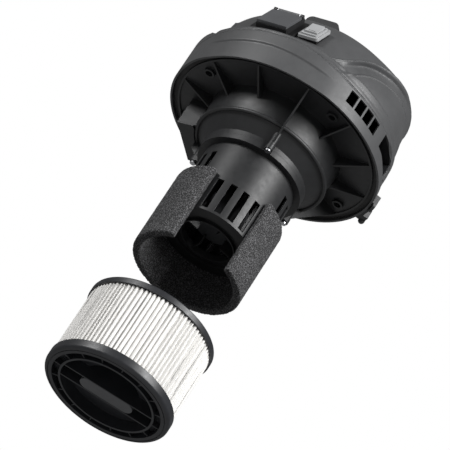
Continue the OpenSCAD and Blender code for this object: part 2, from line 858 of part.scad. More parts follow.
module socket_lid() {
    barrel_w = socket_w - 2 * lid_ear - 4;
    color("#45484b") on_panel(-socket_x) difference() {
        union() {
            translate([-socket_w / 2 + 0.5, -socket_l / 2 + 0.5, socket_top + move_gap])
                cube([socket_w - 1, socket_l / 2 + hinge_y - 3, lid_t]);
            translate([0, hinge_y, hinge_z]) rotate([0, 90, 0])
                cylinder(r = 2.6, h = barrel_w, center = true);
            translate([-barrel_w / 2, hinge_y - 5, socket_top + move_gap]) cube([barrel_w, 5, lid_t]);
        }
        translate([0, hinge_y, hinge_z]) rotate([0, 90, 0])
            cylinder(r = lid_pin_r + run_clear, h = socket_w + 2, center = true);
        for (s = [-1, 1]) translate([s * (socket_w / 2 - lid_ear / 2), hinge_y + 1, socket_top])
            slab(lid_ear + 2 * move_gap + 1, 12, -1, 12);
    }
}

module lid_pin() {
    color("silver") on_panel(-socket_x) translate([0, hinge_y, hinge_z]) rotate([0, 90, 0])
        cylinder(r = lid_pin_r, h = socket_w - 2, center = true);
}

module control_board() {
    color("#1f5a35") at(-55, board_r, 0) {
        slab(54, 1.8, base_top, 44);
        translate([0, 5, 0]) slab(30, 8.4, base_top + 12, 20);
    }
}

// --- Foam sleeve -------------------------------------------------------------

module foam_sleeve() {
    color("#1d1d1f") difference() {
        tube(foam_r, foam_in, foam_low, foam_h);
        at(view_at, 0, foam_low - 1) translate([-foam_gap / 2, -foam_r - 10, 0])
            cube([foam_gap, foam_r + 10, foam_h + 2]);
    }
}

// --- Cartridge filter ----------------------------------------------------------

function pleat_points() = [for (i = [0 : 2 * pleat_n - 1])
    let (a = 180 * i / pleat_n, r = i % 2 == 0 ? pleat_out : pleat_in + 1.2)
        [r * cos(a), r * sin(a)]];

module pleated_filter() {
    color("#e9e5dc") difference() {
        translate([0, 0, cart_low + rim_h - 2]) linear_extrude(cart_h - cap_h - rim_h + 4)
            polygon(pleat_points());
        rod(pleat_in, cart_low, cart_h);
    }
}

module cartridge_core() {
    color("#3a3c3e") difference() {
        tube(cart_bore + core_wall, cart_bore, bowl_floor + cap_plate, cart_top - 3 - bowl_floor - cap_plate);
        for (k = [0 : 3]) for (i = [0 : 11])
            at(i * 30 + 15 * (k % 2), cart_bore, bowl_floor + cap_plate + 8 + k * 18) slab(14, 10, 0, 11);
    }
}

// Half section of a cap's ring: a rounded outer edge at the bottom, a trough for the pleats at the top
module ring_section(h, round) {
    difference() {
        union() {
            translate([cart_bore, 0]) square([cart_r - round - cart_bore, h]);
            translate([cart_bore, round]) square([cart_r - cart_bore, h - round]);
            translate([cart_r - round, round]) circle(r = round, $fn = 48);
        }
        translate([pleat_in, h - 2]) square([pleat_out + 0.1 - pleat_in, 3]);
    }
}

module cartridge_top_cap() {
    color("#111315") translate([0, 0, cart_top]) mirror([0, 0, 1]) rotate_extrude() difference() {
        ring_section(cap_h, 2);
        translate([cart_bore - 1, 3]) square([core_wall + 1, cap_h]);
    }
}

module cartridge_bottom_cap() {
    skin = 2.5;
    web = 2;
    color("#111315") translate([0, 0, cart_low]) {
        rotate_extrude() {
            difference() {
                ring_section(rim_h, rim_round);
                translate([cart_r - rim_round - 1.6, -1]) square([1.2, 2.2]);
            }
            translate([channel_out, 0]) square([cart_bore + 1 - channel_out, rim_h - 2]);
            translate([channel_in - 1, rim_h - 4]) square([channel_out - channel_in + 2, 2]);
            translate([bowl_r, 0]) square([channel_in - bowl_r, rim_h - 2]);
            translate([bowl_r, rim_h - 4]) square([skin, bowl_d + skin - rim_h + 4]);
            translate([well_r, bowl_d]) square([cart_bore + core_wall - well_r, skin]);
            translate([well_r, bowl_d]) square([skin, bowl_well_d + skin - bowl_d]);
            translate([0, bowl_well_d]) square([well_r + 1, skin]);
            translate([cart_bore - 1.5, rim_h - 3]) square([core_wall + 1.5, bowl_d + skin - rim_h + 3]);
        }
        for (i = [0 : 15]) rotate([0, 0, i * 22.5 + 6]) translate([channel_in - 1, -0.75, 1.5])
            cube([channel_out - channel_in + 2, 1.5, rim_h - 5]);
        rotate([0, 0, grip_at]) for (s = [-1, 1]) translate([0, s * (grip_w - web) / 2, 0]) {
            slab(2 * bowl_r + 2, web, 0, bowl_d + 1);
            slab(2 * well_r - 2, web, 0, bowl_well_d + 1);
        }
    }
}

module grip_tab() {
    tab_w = grip_w - 4;
    tab_l = 2 * well_r - tab_w;
    tab_in = 0.4;
    tab_d = bowl_well_d - tab_in;
    color("#2c3036") rotate([0, 0, grip_at]) difference() {
        union() {
            slab(tab_l, tab_w, cart_low + tab_in, tab_d);
            for (s = [-1, 1]) translate([s * tab_l / 2, 0, 0]) rod(tab_w / 2, cart_low + tab_in, tab_d);
        }
        slab(tab_l, tab_w - 5, cart_low + tab_in + 3, tab_d);
    }
}

top_cover();
panel_plate();
carry_handle();
handle_well();
handle_screws();
pocket_left();
pocket_right();
cord_hook_left();
cord_hook_right();
cord_gland();
cord_clamp();
base_housing();
rim_seal();
cover_screws();
duct_cover();
exhaust_foam();
float_cage();
cage_screws();
float_body();
motor_gasket();
fan_shroud();
impeller();
bearing_plate();
lower_bearing();
motor_frame();
field_core();
field_coils();
shaft();
armature_core();
armature_windings();
commutator();
brush_holders();
carbon_brushes();
upper_bearing();
cooling_fan();
mount_ring();
motor_hood();
hood_screws();
switch_bezel();
switch_rocker();
rocker_pin();
switch_body();
socket_frame();
socket_insert();
socket_lid();
lid_pin();
control_board();
foam_sleeve();
cartridge_top_cap();
cartridge_bottom_cap();
cartridge_core();
pleated_filter();
grip_tab();
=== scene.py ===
"""Looks of a shop vacuum's motor head, with its float cage, foam sleeve and cartridge filter.

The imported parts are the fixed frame. This script dresses every part, and rebuilds the moulded cover, the foam
sleeve and the pleated paper with the shape that moulding, foam and folded paper give them.
Lengths in the classes below are millimetres unless a name says otherwise. The front faces -Y and +Z is up.
"""

from __future__ import annotations

import logging
import math
from dataclasses import dataclass, field
from enum import Enum

import bmesh
import bpy
import numpy as np
from mathutils import Matrix, Vector

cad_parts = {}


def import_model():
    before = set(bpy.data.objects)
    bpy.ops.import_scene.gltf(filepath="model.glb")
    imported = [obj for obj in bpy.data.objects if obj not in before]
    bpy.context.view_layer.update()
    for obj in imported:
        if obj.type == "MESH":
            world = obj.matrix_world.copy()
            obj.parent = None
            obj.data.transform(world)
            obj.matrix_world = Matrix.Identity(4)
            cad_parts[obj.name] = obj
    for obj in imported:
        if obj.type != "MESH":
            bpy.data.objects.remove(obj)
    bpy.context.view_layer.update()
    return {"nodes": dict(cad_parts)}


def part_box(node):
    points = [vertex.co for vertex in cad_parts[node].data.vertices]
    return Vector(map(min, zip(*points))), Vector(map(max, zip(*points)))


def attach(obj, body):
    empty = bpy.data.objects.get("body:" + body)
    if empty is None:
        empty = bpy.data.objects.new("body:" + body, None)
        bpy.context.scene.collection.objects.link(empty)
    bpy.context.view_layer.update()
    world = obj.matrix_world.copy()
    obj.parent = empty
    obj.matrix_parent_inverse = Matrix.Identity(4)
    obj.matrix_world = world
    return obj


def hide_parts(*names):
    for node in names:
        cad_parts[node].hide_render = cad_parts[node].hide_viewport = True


log = logging.getLogger("shop_vacuum")
MM = 0.001
Colour = tuple[float, float, float]
Point = tuple[float, float, float]


# --- Finishes ------------------------------------------------------------------


class Graph:
    """The nodes of one material, built a few links at a time."""

    def __init__(self, name: str) -> None:
        """Starts a material with a Principled shader.

        Args:
            name: The material's name.
        """
        self.material = bpy.data.materials.new(name)
        self.material.use_nodes = True
        self.nodes = self.material.node_tree.nodes
        self.links = self.material.node_tree.links
        self.shader = self.nodes["Principled BSDF"]
        self.place = self.nodes.new("ShaderNodeTexCoord").outputs["Object"]

    def noise(self, size_mm: float, detail: float = 2.0, rough: float = 0.5) -> bpy.types.NodeSocket:
        """Adds noise of a real size.

        Args:
            size_mm: The size of one blotch.
            detail: How many finer layers it has.
            rough: How strong the finer layers are.

        Returns:
            The noise's value, about 0.5 on average.
        """
        node = self.nodes.new("ShaderNodeTexNoise")
        node.inputs["Scale"].default_value = 1 / (size_mm * MM)
        node.inputs["Detail"].default_value = detail
        node.inputs["Roughness"].default_value = rough
        self.links.new(self.place, node.inputs["Vector"])
        return node.outputs["Fac"]

    def cells(self, size_mm: float) -> bpy.types.NodeSocket:
        """Adds a pattern of cells of a real size, and returns the distance within them."""
        node = self.nodes.new("ShaderNodeTexVoronoi")
        node.inputs["Scale"].default_value = 1 / (size_mm * MM)
        self.links.new(self.place, node.inputs["Vector"])
        return node.outputs["Distance"]

    def span(self, value: bpy.types.NodeSocket, low: float, high: float,
             start: float = 0.3, stop: float = 0.7) -> bpy.types.NodeSocket:
        """Maps a value from start..stop to low..high, and returns the result."""
        node = self.nodes.new("ShaderNodeMapRange")
        self.links.new(value, node.inputs["Value"])
        for name, number in (("From Min", start), ("From Max", stop), ("To Min", low), ("To Max", high)):
            node.inputs[name].default_value = number
        return node.outputs["Result"]

    def ramp(self, value: bpy.types.NodeSocket, stops: list[tuple[float, Colour]]) -> bpy.types.NodeSocket:
        """Turns a value into a colour.

        Args:
            value: The value, from 0 to 1.
            stops: Places and linear colours, from low to high.

        Returns:
            The colour.
        """
        node = self.nodes.new("ShaderNodeValToRGB")
        elements = node.color_ramp.elements
        while len(elements) < len(stops):
            elements.new(0.5)
        for element, (place, colour) in zip(elements, stops):
            element.position = place
            element.color = (*colour, 1)
        self.links.new(value, node.inputs["Fac"])
        return node.outputs["Color"]

    def rounding(self, radius_mm: float) -> bpy.types.NodeSocket:
        """Adds the small round that every moulded edge has, and returns the normal."""
        node = self.nodes.new("ShaderNodeBevel")
        node.samples = 6
        node.inputs["Radius"].default_value = radius_mm * MM
        return node.outputs["Normal"]

    def bump(self, height: bpy.types.NodeSocket, depth_mm: float, strength: float = 1.0,
             normal: bpy.types.NodeSocket | None = None) -> bpy.types.NodeSocket:
        """Adds relief, on top of an earlier normal if there is one, and returns the normal."""
        node = self.nodes.new("ShaderNodeBump")
        node.inputs["Strength"].default_value = strength
        node.inputs["Distance"].default_value = depth_mm * MM
        self.links.new(height, node.inputs["Height"])
        if normal is not None:
            self.links.new(normal, node.inputs["Normal"])
        return node.outputs["Normal"]

    def feed(self, **inputs: bpy.types.NodeSocket) -> None:
        """Links outputs to the shader's sockets, named with underscores for spaces."""
        for name, output in inputs.items():
            self.links.new(output, self.shader.inputs[name.replace("_", " ")])

    def fix(self, **values: float) -> None:
        """Sets the shader's own sockets to values, named with underscores for spaces."""
        for name, value in values.items():
            self.shader.inputs[name.replace("_", " ")].default_value = value


def shade(colour: Colour, factor: float) -> Colour:
    """Returns a colour made lighter or darker by a factor."""
    return (colour[0] * factor, colour[1] * factor, colour[2] * factor)


@dataclass(frozen=True)
class MouldedPlastic:
    """Moulded plastic or rubber with a spark-eroded grain and rounded edges."""

    name: str
    colour: Colour
    roughness: float = 0.45
    grain_mm: float = 0.5
    grain_depth_mm: float = 0.02
    mottle: float = 0.12
    edge_mm: float = 0.6
    gloss: float = 0.5

    def material(self) -> bpy.types.Material:
        """Builds the material.

        Returns:
            The new material.
        """
        g = Graph(self.name)
        blotches = g.noise(28, 4, 0.6)
        g.feed(
            Base_Color=g.ramp(blotches, [(0.3, shade(self.colour, 1 - self.mottle)),
                                         (0.7, shade(self.colour, 1 + self.mottle))]),
            Roughness=g.span(g.noise(9, 3, 0.65), self.roughness - 0.06, self.roughness + 0.06),
            Normal=g.bump(g.noise(self.grain_mm, 2), self.grain_depth_mm, 0.8, g.rounding(self.edge_mm)),
        )
        g.fix(Specular_IOR_Level=self.gloss)
        return g.material


@dataclass(frozen=True)
class Metal:
    """Sheet, turned or cast metal with a fine grain."""

    name: str
    colour: Colour
    roughness: float = 0.3
    grain_mm: float = 0.4
    edge_mm: float = 0.3

    def material(self) -> bpy.types.Material:
        """Builds the material.

        Returns:
            The new material.
        """
        g = Graph(self.name)
        g.feed(
            Base_Color=g.ramp(g.noise(6, 4, 0.7), [(0.3, shade(self.colour, 0.8)), (0.7, self.colour)]),
            Roughness=g.span(g.noise(3, 3), self.roughness - 0.08, self.roughness + 0.1),
            Normal=g.bump(g.noise(self.grain_mm, 3), 0.01, 0.6, g.rounding(self.edge_mm)),
        )
        g.fix(Metallic=1.0)
        return g.material


@dataclass(frozen=True)
class OpenCellFoam:
    """Black reticulated foam: pale strands round cells whose centres are darkened with painted shade inside the
    pores.
    """

    name: str
    strand: Colour = (0.15, 0.15, 0.155)
    # Painted shade: the near-black colour of the cell centres stands in for the shade inside the open pores.
    pore_shade: Colour = (0.004, 0.004, 0.004)
    cell_mm: float = 1.5

    def material(self) -> bpy.types.Material:
        """Builds the material.

        Returns:
            The new material.
        """
        g = Graph(self.name)
        cell = g.cells(self.cell_mm)
        fine = g.noise(self.cell_mm * 0.6, 3, 0.7)
        mix = g.nodes.new("ShaderNodeMath")
        mix.operation = "MULTIPLY"
        g.links.new(cell, mix.inputs[0])
        g.links.new(fine, mix.inputs[1])
        # The colour runs from painted pore shade in the middle of each cell to the strands' own grey at its
        # edge.
        g.feed(
            Base_Color=g.ramp(mix.outputs["Value"], [(0.14, self.pore_shade), (0.27, shade(self.strand, 0.35)),
                                                     (0.42, self.strand)]),
            Normal=g.bump(mix.outputs["Value"], 0.9, 0.9),
            Roughness=g.span(fine, 0.7, 0.95),
        )
        g.fix(Specular_IOR_Level=0.35)
        return g.material


@dataclass(frozen=True)
class FilterPaper:
    """Warm white filter paper with a fibrous face."""

    name: str
    colour: Colour = (0.80, 0.79, 0.77)

    def material(self) -> bpy.types.Material:
        """Builds the material.

        Returns:
            The new material.
        """
        g = Graph(self.name)
        fibres = g.noise(0.7, 5, 0.75)
        g.feed(
            Base_Color=g.ramp(g.noise(14, 5, 0.65), [(0.3, shade(self.colour, 0.93)), (0.7, self.colour)]),
            Roughness=g.span(fibres, 0.85, 0.97),
            Normal=g.bump(fibres, 0.12, 0.5),
        )
        g.fix(Specular_IOR_Level=0.2)
        return g.material


class Slot(Enum):
    """The record's material slots, each with the finish that it is dressed in."""

    COVER = MouldedPlastic("cover_plastic", (0.060, 0.061, 0.063), 0.47, 0.45, 0.025, 0.06, 0.8)
    BLACK = MouldedPlastic("black_plastic", (0.013, 0.0135, 0.0145), 0.46, 0.6, 0.015, 0.15, 0.55)
    PANEL = MouldedPlastic("panel_black", (0.007, 0.007, 0.0075), 0.5, 0.4, 0.02, 0.1, 0.5)
    LID = MouldedPlastic("lid_grey", (0.066, 0.068, 0.072), 0.46, 0.4, 0.02, 0.08, 0.7)
    SWITCH = MouldedPlastic("switch_grey", (0.32, 0.325, 0.33), 0.42, 0.4, 0.015, 0.05, 0.7)
    SEAL = MouldedPlastic("seal_rubber", (0.008, 0.008, 0.008), 0.6, 0.5, 0.03, 0.15, 0.5)
    CAP = MouldedPlastic("cap_rubber", (0.016, 0.017, 0.020), 0.42, 0.7, 0.03, 0.18, 0.7)
    CORE = MouldedPlastic("core_plastic", (0.045, 0.046, 0.048), 0.5)
    FLOAT = MouldedPlastic("float_plastic", (0.035, 0.036, 0.039), 0.4)
    BOARD = MouldedPlastic("board", (0.03, 0.14, 0.06), 0.35, 0.8, 0.02, 0.2, 0.2)
    CARBON = MouldedPlastic("carbon", (0.02, 0.02, 0.02), 0.6, 0.3, 0.04, 0.2, 0.2)
    STEEL = Metal("steel", (0.62, 0.63, 0.65), 0.28)
    SHROUD = Metal("shroud_steel", (0.5, 0.51, 0.53), 0.32)
    CAST = Metal("cast_aluminium", (0.55, 0.56, 0.58), 0.45, 0.8)
    LAMINATION = Metal("core_steel", (0.22, 0.23, 0.25), 0.5)
    COPPER = Metal("copper", (0.62, 0.27, 0.12), 0.35)
    BRASS = Metal("brass", (0.64, 0.48, 0.2), 0.35)
    FOAM = OpenCellFoam("foam")
    PAPER = FilterPaper("filter_paper")


class Wardrobe:
    """Builds each finish once and hands it out by its slot's name."""

    def __init__(self) -> None:
        """Starts with nothing built."""
        self._built: dict[str, bpy.types.Material] = {}

    def get(self, slot: Slot) -> bpy.types.Material:
        """Returns the material of a slot, built at its first use."""
        if slot.name not in self._built:
            self._built[slot.name] = slot.value.material()
        return self._built[slot.name]

    def dress_parts(self, nodes: dict[str, bpy.types.Object]) -> None:
        """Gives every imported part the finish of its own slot.

        Args:
            nodes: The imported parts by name.
        """
        by_slot = {slot.value.name: slot for slot in Slot}
        for name, part in sorted(nodes.items()):
            for place in part.material_slots:
                place.material = self.get(by_slot[place.material.name.split(".")[0]])
            log.info("dressed %s", name)


# --- Mesh helpers ------------------------------------------------------------------


def new_piece(name: str, points: np.ndarray, faces: list[tuple[int, ...]], material: bpy.types.Material,
              smooth: bool = True) -> bpy.types.Object:
    """Makes an object from points in millimetres.

    Args:
        name: The object's name.
        points: One row for each vertex, in millimetres.
        faces: The faces, as vertex numbers.
        material: Its material.
        smooth: Whether its faces are shaded smooth.

    Returns:
        The new object.
    """
    mesh = bpy.data.meshes.new(name)
    mesh.from_pydata((points * MM).tolist(), [], faces)
    mesh.update()
    mesh.polygons.foreach_set("use_smooth", [smooth] * len(mesh.polygons))
    mesh.materials.append(material)
    piece = bpy.data.objects.new(name, mesh)
    bpy.context.scene.collection.objects.link(piece)
    return piece


def grid_faces(rows: int, columns: int, closed_rows: bool, closed_columns: bool) -> list[tuple[int, ...]]:
    """Lists the faces of a grid of points.

    Args:
        rows: How many rows the grid has.
        columns: How many points a row has.
        closed_rows: Whether the last row joins the first.
        closed_columns: Whether a row's last point joins its first.

    Returns:
        Faces of four vertex numbers, turned outwards for rows that go up and columns that go anticlockwise.
    """
    r = np.arange(rows if closed_rows else rows - 1)
    c = np.arange(columns if closed_columns else columns - 1)
    r0, c0 = np.meshgrid(r, c, indexing="ij")
    r1, c1 = (r0 + 1) % rows, (c0 + 1) % columns
    quads = np.stack([r0 * columns + c0, r0 * columns + c1, r1 * columns + c1, r1 * columns + c0], -1)
    return [tuple(q) for q in quads.reshape(-1, 4).tolist()]


def apply_all(piece: bpy.types.Object) -> None:
    """Turns a piece's modifiers into its mesh."""
    bpy.context.view_layer.update()
    evaluated = piece.evaluated_get(bpy.context.evaluated_depsgraph_get())
    mesh = bpy.data.meshes.new_from_object(evaluated)
    piece.modifiers.clear()
    old, piece.data = piece.data, mesh
    bpy.data.meshes.remove(old)


def round_turn(azimuth_deg: float) -> Matrix:
    """Returns the turn that takes the front to an azimuth, anticlockwise seen from above."""
    return Matrix.Rotation(math.radians(azimuth_deg), 4, "Z")


def rounded_prism(width: float, depth: float, height: float, radius: float,
                  arc_steps: int = 8) -> bmesh.types.BMesh:
    """Makes an upright block with rounded corners, standing on z = 0, in millimetres.

    Args:
        width: Its size along x.
        depth: Its size along y.
        height: Its height.
        radius: The radius of its four upright edges.
        arc_steps: How many steps a corner takes.

    Returns:
        A new bmesh.
    """
    outline = []
    for k, (sx, sy) in enumerate([(1, 1), (-1, 1), (-1, -1), (1, -1)]):
        for i in range(arc_steps + 1):
            a = math.radians(90 * (k + i / arc_steps))
            outline.append((sx * (width / 2 - radius) + radius * math.cos(a),
                            sy * (depth / 2 - radius) + radius * math.sin(a)))
    block = bmesh.new()
    low = [block.verts.new((x, y, 0)) for x, y in outline]
    high = [block.verts.new((x, y, height)) for x, y in outline]
    block.faces.new(low[::-1])
    block.faces.new(high)
    for i in range(len(low)):
        j = (i + 1) % len(low)
        block.faces.new((low[i], low[j], high[j], high[i]))
    return block


def cutter(name: str, block: bmesh.types.BMesh, place: Matrix) -> bpy.types.Object:
    """Makes a hidden solid to cut with, from a bmesh in millimetres and its place in millimetres."""
    bmesh.ops.transform(block, matrix=Matrix.Scale(MM, 4) @ place, verts=block.verts)
    bmesh.ops.recalc_face_normals(block, faces=block.faces)
    mesh = bpy.data.meshes.new(name)
    block.to_mesh(mesh)
    block.free()
    solid = bpy.data.objects.new(name, mesh)
    bpy.context.scene.collection.objects.link(solid)
    return solid


def cut_away(piece: bpy.types.Object, solids: list[bpy.types.Object]) -> None:
    """Cuts solids out of a piece, and removes them.

    Args:
        piece: The closed mesh that is cut.
        solids: Closed meshes, which are removed after the cut.
    """
    for solid in solids:
        change = piece.modifiers.new("cut", "BOOLEAN")
        change.object = solid
        change.operation = "DIFFERENCE"
        change.solver = "MANIFOLD"
    apply_all(piece)
    for solid in solids:
        mesh = solid.data
        bpy.data.objects.remove(solid)
        bpy.data.meshes.remove(mesh)


def smoothstep(low: float, high: float, value: np.ndarray) -> np.ndarray:
    """Returns a smooth rise from 0 at low to 1 at high."""
    t = np.clip((value - low) / (high - low), 0, 1)
    return t * t * (3 - 2 * t)


# --- Cover ------------------------------------------------------------------


@dataclass
class Cover:
    """The moulded cover: a skirt, a dome with swept flanks, and every opening in them."""

    wardrobe: Wardrobe
    skirt_r: float = 153
    skirt_h: float = 56
    wall: float = 3
    dome_r: float = 150
    dome_h: float = 160
    cap_r: float = 168
    cap_h: float = 172
    cap_back: float = 35
    cap_lean_deg: float = 15
    panel_slope_deg: float = 62
    panel_face: float = 148.57
    panel_up: float = 19.54
    form_blend: float = 26
    band_blend: float = 40
    skirt_blend: float = 70
    crease_z: float = 31.5
    sharp_edge_deg: float = 38
    columns: int = 600
    dome_rows: int = 76
    flank_step: float = 0.8
    flank_top: float = 122
    groove_z: list[tuple[float, float]] = field(default_factory=lambda: [
        (0, 51), (15, 50), (32, 44.5), (46, 39.5), (60, 38.5), (76, 39), (100, 39), (125, 42), (150, 48),
        (180, 50)])
    shoulder_z: list[tuple[float, float]] = field(default_factory=lambda: [
        (0, 58), (20, 58), (26, 59.5), (32, 64), (38, 74), (47, 97), (55, 110), (63, 118), (73, 124),
        (90, 127), (115, 122), (140, 108), (160, 96), (180, 92)])
    flank_z: list[tuple[float, float]] = field(default_factory=lambda: [
        (0, 42), (36, 42), (39, 45), (43, 58), (48, 73), (53.5, 84), (59, 92), (66, 99), (74, 104), (85, 106),
        (105, 102), (130, 92), (150, 80), (180, 72)])

    def along(self, curve: list[tuple[float, float]], azimuth_deg: np.ndarray) -> np.ndarray:
        """Reads a height off one of the side curves, which is the same on the left and the right.

        Args:
            curve: Places round the cover in degrees from the front, with heights.
            azimuth_deg: Where to read it.

        Returns:
            The heights, smoothed between the points.
        """
        places, heights = np.array(curve).T
        fine = np.arange(0, 181, 1.0)
        line = np.interp(fine, places, heights)
        for _ in range(3):
            line = np.convolve(np.pad(line, 2, mode="edge"), np.ones(5) / 5, mode="valid")
        return np.interp(np.abs((azimuth_deg + 180) % 360 - 180), fine, line)

    def inside(self, x: np.ndarray, y: np.ndarray, z: np.ndarray) -> np.ndarray:
        """Returns how far out points are: below 1 inside the cover's form and above 1 outside it."""
        dome = (np.hypot(x, y) / self.dome_r) ** 3 + (z / self.dome_h) ** 4.4
        lean = math.radians(self.cap_lean_deg)
        cy = y * math.cos(lean) + z * math.sin(lean) - self.cap_back
        cz = np.clip(-y * math.sin(lean) + z * math.cos(lean), 0, None)
        cap = (np.hypot(x, cy) / self.cap_r) ** 2.5 + (cz / self.cap_h) ** 2.1
        slope = math.radians(self.panel_slope_deg)
        panel = np.clip(-y * math.sin(slope) + z * math.cos(slope), 0, None) / self.panel_face
        blend = self.form_blend
        return (dome**blend + cap**blend + (panel**1.6) ** blend) ** (1 / blend)

    def reach(self, azimuth: np.ndarray, tilt: np.ndarray) -> np.ndarray:
        """Finds how far the cover's surface is from the middle of its bottom.

        Args:
            azimuth: Directions round the axis, in radians from the front.
            tilt: Directions up from level, in radians.

        Returns:
            The distances.
        """
        dx, dy = np.cos(tilt) * np.sin(azimuth), -np.cos(tilt) * np.cos(azimuth)
        dz = np.sin(tilt)
        low, high = np.full(azimuth.shape, 20.0), np.full(azimuth.shape, 260.0)
        halvings = 40
        for _ in range(halvings):
            mid = (low + high) / 2
            out = self.inside(mid * dx, mid * dy, mid * dz) > 1
            high, low = np.where(out, mid, high), np.where(out, low, mid)
        form = (low + high) / 2
        soft = self.band_blend
        band = ((np.cos(tilt) / self.skirt_r) ** soft + (dz / (self.skirt_h + 1)) ** soft) ** (-1 / soft)
        band = np.minimum(band, self.skirt_r / np.cos(np.minimum(tilt, 1.5)))
        merge = self.skirt_blend
        far = np.maximum(form, band)
        return far * ((form / far) ** merge + (band / far) ** merge) ** (1 / merge)

    def skirt_lines(self, a: np.ndarray, z: np.ndarray, groove: np.ndarray) -> np.ndarray:
        """Returns the relief of the skirt's crease and of the groove over it, in millimetres."""
        crease_step, crease_dip, groove_depth = 1.9, 3.5, 1.1
        crease = self.crease_z - crease_dip * smoothstep(0, 36, a)
        fade = 1 - smoothstep(26, 40, a)
        out = -crease_step * fade * (1 - smoothstep(-2.4, 0.6, z - crease))
        return out - groove_depth * np.exp(-((z - groove) ** 2))

    def flank_lines(self, a: np.ndarray, z: np.ndarray, groove: np.ndarray, flank: np.ndarray,
                    shoulder: np.ndarray) -> np.ndarray:
        """Returns the relief of the side between the groove and the shoulder, in millimetres."""
        dip, swell_height, valley_depth, flank_ridge, shoulder_ridge = 1.6, 2.0, 5.2, 1.3, 2.1
        out = -dip * smoothstep(0, 7, z - groove) * (1 - smoothstep(-10, -1, z - shoulder))
        swell = smoothstep(34, 50, a) * (1 - smoothstep(135, 165, a))
        middle = (groove + flank) / 2
        half = np.maximum((flank - groove) / 2, 4)
        out += swell_height * swell * np.clip(1 - ((z - middle) / half) ** 2, 0, 1) ** 0.7
        swept = smoothstep(35, 48, a)
        front = 1 - smoothstep(84, 104, a)
        valley = smoothstep(-1.5, 4.0, z - flank) * (1 - smoothstep(-6.0, -0.4, z - shoulder))
        out += -valley_depth * swept * (0.25 + 0.75 * front) * valley
        out += flank_ridge * swept * front * np.exp(-(((z - flank + 1.6) / 1.7) ** 2))
        out += shoulder_ridge * smoothstep(4, 20, a) * front * np.exp(-(((z - shoulder - 1.8) / 1.9) ** 2))
        return out

    def window_lip(self, a: np.ndarray, z: np.ndarray) -> np.ndarray:
        """Returns the relief of the arched lip round each side window, in millimetres."""
        lip, half_w, half_h, thin = 1.9, 36, 25, 0.085
        side = np.radians(a - 90) * self.skirt_r
        arch = np.hypot(side / half_w, (z - 18) / half_h)
        return lip * np.exp(-(((arch - 1.0) / thin) ** 2)) * (z > 14)

    def relief(self, azimuth_deg: np.ndarray, z: np.ndarray) -> np.ndarray:
        """Returns how far the moulded lines stand out of the smooth form, in millimetres."""
        a = np.abs((azimuth_deg + 180) % 360 - 180)
        groove = self.along(self.groove_z, azimuth_deg)
        shoulder = self.along(self.shoulder_z, azimuth_deg)
        flank = self.along(self.flank_z, azimuth_deg)
        out = self.skirt_lines(a, z, groove) + self.flank_lines(a, z, groove, flank, shoulder)
        out += self.window_lip(a, z)
        flat_depth = 2.4
        flat_side = smoothstep(80, 94, a) * (1 - smoothstep(116, 134, a))
        return out - flat_depth * flat_side * smoothstep(10, 16, z) * (1 - smoothstep(88, 104, z))

    def fullness(self, azimuth_deg: np.ndarray, z: np.ndarray) -> np.ndarray:
        """Returns how far the broad shoulders swell out of the smooth form, in millimetres."""
        a = np.abs((azimuth_deg + 180) % 360 - 180)
        front_swell, side_swell, shoulder_at, shoulder_h = 3.5, 6.0, 124, 17
        swell = front_swell * smoothstep(10, 30, a) + side_swell * smoothstep(55, 80, a)
        return swell * (1 - smoothstep(112, 150, a)) * np.exp(-(((z - shoulder_at) / shoulder_h) ** 2))

    def shell(self) -> bpy.types.Object:
        """Builds the closed shell, without its openings.

        Returns:
            The shell.
        """
        azimuth = np.linspace(0, 2 * math.pi, self.columns, endpoint=False)
        heights = np.arange(0, self.flank_top + 0.01, self.flank_step)
        low_tilts = np.arctan2(heights, self.dome_r)
        high_tilts = np.linspace(low_tilts[-1], math.pi / 2, self.dome_rows)[1:-1]
        tilts = np.concatenate([low_tilts, high_tilts])
        a, t = np.meshgrid(azimuth, tilts)
        s = self.reach(a, t)
        z = s * np.sin(t)
        r = s * np.cos(t)
        facing = smoothstep(0.0, 1.0, (r - 40) / 60)
        relief = self.relief(np.degrees(a), z) * (1 - smoothstep(132, 156, z))
        relief = (relief + self.fullness(np.degrees(a), z)) * facing
        panel_near = smoothstep(-9, -3, self.panel_gap(r * np.sin(a), -r * np.cos(a), z))
        r = r + relief * (1 - panel_near * (z > self.skirt_h))
        r = np.minimum(r, self.skirt_r)
        outer = np.stack([r * np.sin(a), -r * np.cos(a), z], -1).reshape(-1, 3)
        top = np.array([[0, 0, float(self.reach(np.array([0.0]), np.array([math.pi / 2]))[0])]])
        rows = len(tilts)
        faces = grid_faces(rows, self.columns, False, True)
        last = (rows - 1) * self.columns
        faces += [(last + i, last + (i + 1) % self.columns, rows * self.columns) for i in range(self.columns)]
        piece = new_piece("cover_shell", np.concatenate([outer, top]), faces, self.wardrobe.get(Slot.COVER))
        thick = piece.modifiers.new("wall", "SOLIDIFY")
        thick.thickness = self.wall * MM
        thick.offset = -1
        return piece

    def panel_gap(self, x: np.ndarray, y: np.ndarray, z: np.ndarray) -> np.ndarray:
        """Returns how far points stand out of the front panel's plane, in millimetres."""
        slope = math.radians(self.panel_slope_deg)
        return -y * math.sin(slope) + z * math.cos(slope) - self.panel_face

    def on_panel(self, x: float, rise: float) -> Matrix:
        """Returns a place on the front panel: x across, y up the slope, z out of it."""
        return Matrix.Rotation(math.radians(self.panel_slope_deg), 4, "X") @ Matrix.Translation(
            (x, self.panel_up + rise, self.panel_face))

    def vents(self) -> list[bpy.types.Object]:
        """Makes the cutters of the exhaust vents, side by side in the skirt."""
        width, bar, height, low, middle_deg, count = 13.5, 3.2, 20, 15, 59, 4
        step = math.degrees((width + bar) / self.skirt_r)
        solids = []
        for i in range(count):
            turn = round_turn(middle_deg + (i - (count - 1) / 2) * step)
            solids.append(cutter(f"vent_{i}", rounded_prism(width, 30, height, 0.6, 2),
                                 turn @ Matrix.Translation((0, -self.skirt_r + 4, low))))
        return solids

